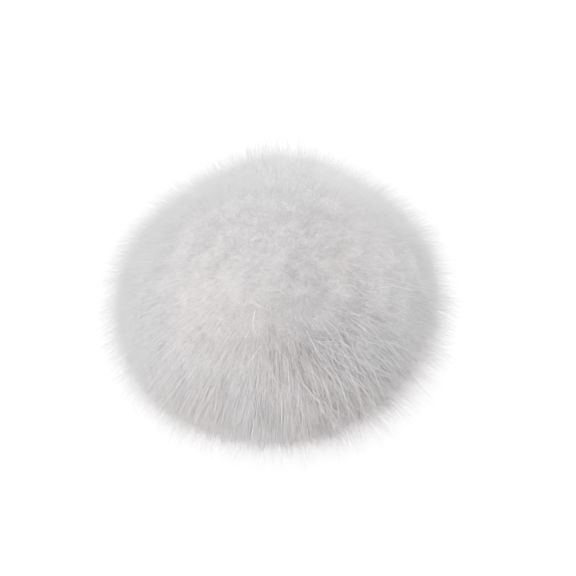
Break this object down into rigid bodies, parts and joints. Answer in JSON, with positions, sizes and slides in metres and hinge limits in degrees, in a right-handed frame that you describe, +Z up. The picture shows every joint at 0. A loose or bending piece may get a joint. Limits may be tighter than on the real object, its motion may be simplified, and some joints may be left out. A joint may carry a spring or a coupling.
{
  "type": "pom pom",
  "caption": "Soft round pom pom of long white fur pile, slightly flattened, resting on the flat spot where its fur is gathered.",
  "frame": {"origin": "centre of the flat spot that the pom pom rests on", "axes": "+Z up through the crown, +X to the right and +Y away as the picture sees it"},
  "size_m": [0.1041, 0.1016, 0.0743],
  "materials": {
    "white_fur": "long soft matte pile with a faint gloss on the tips"
  },
  "bodies": {
    "root": {"fur_pile": "white_fur"}
  },
  "joints": []
}
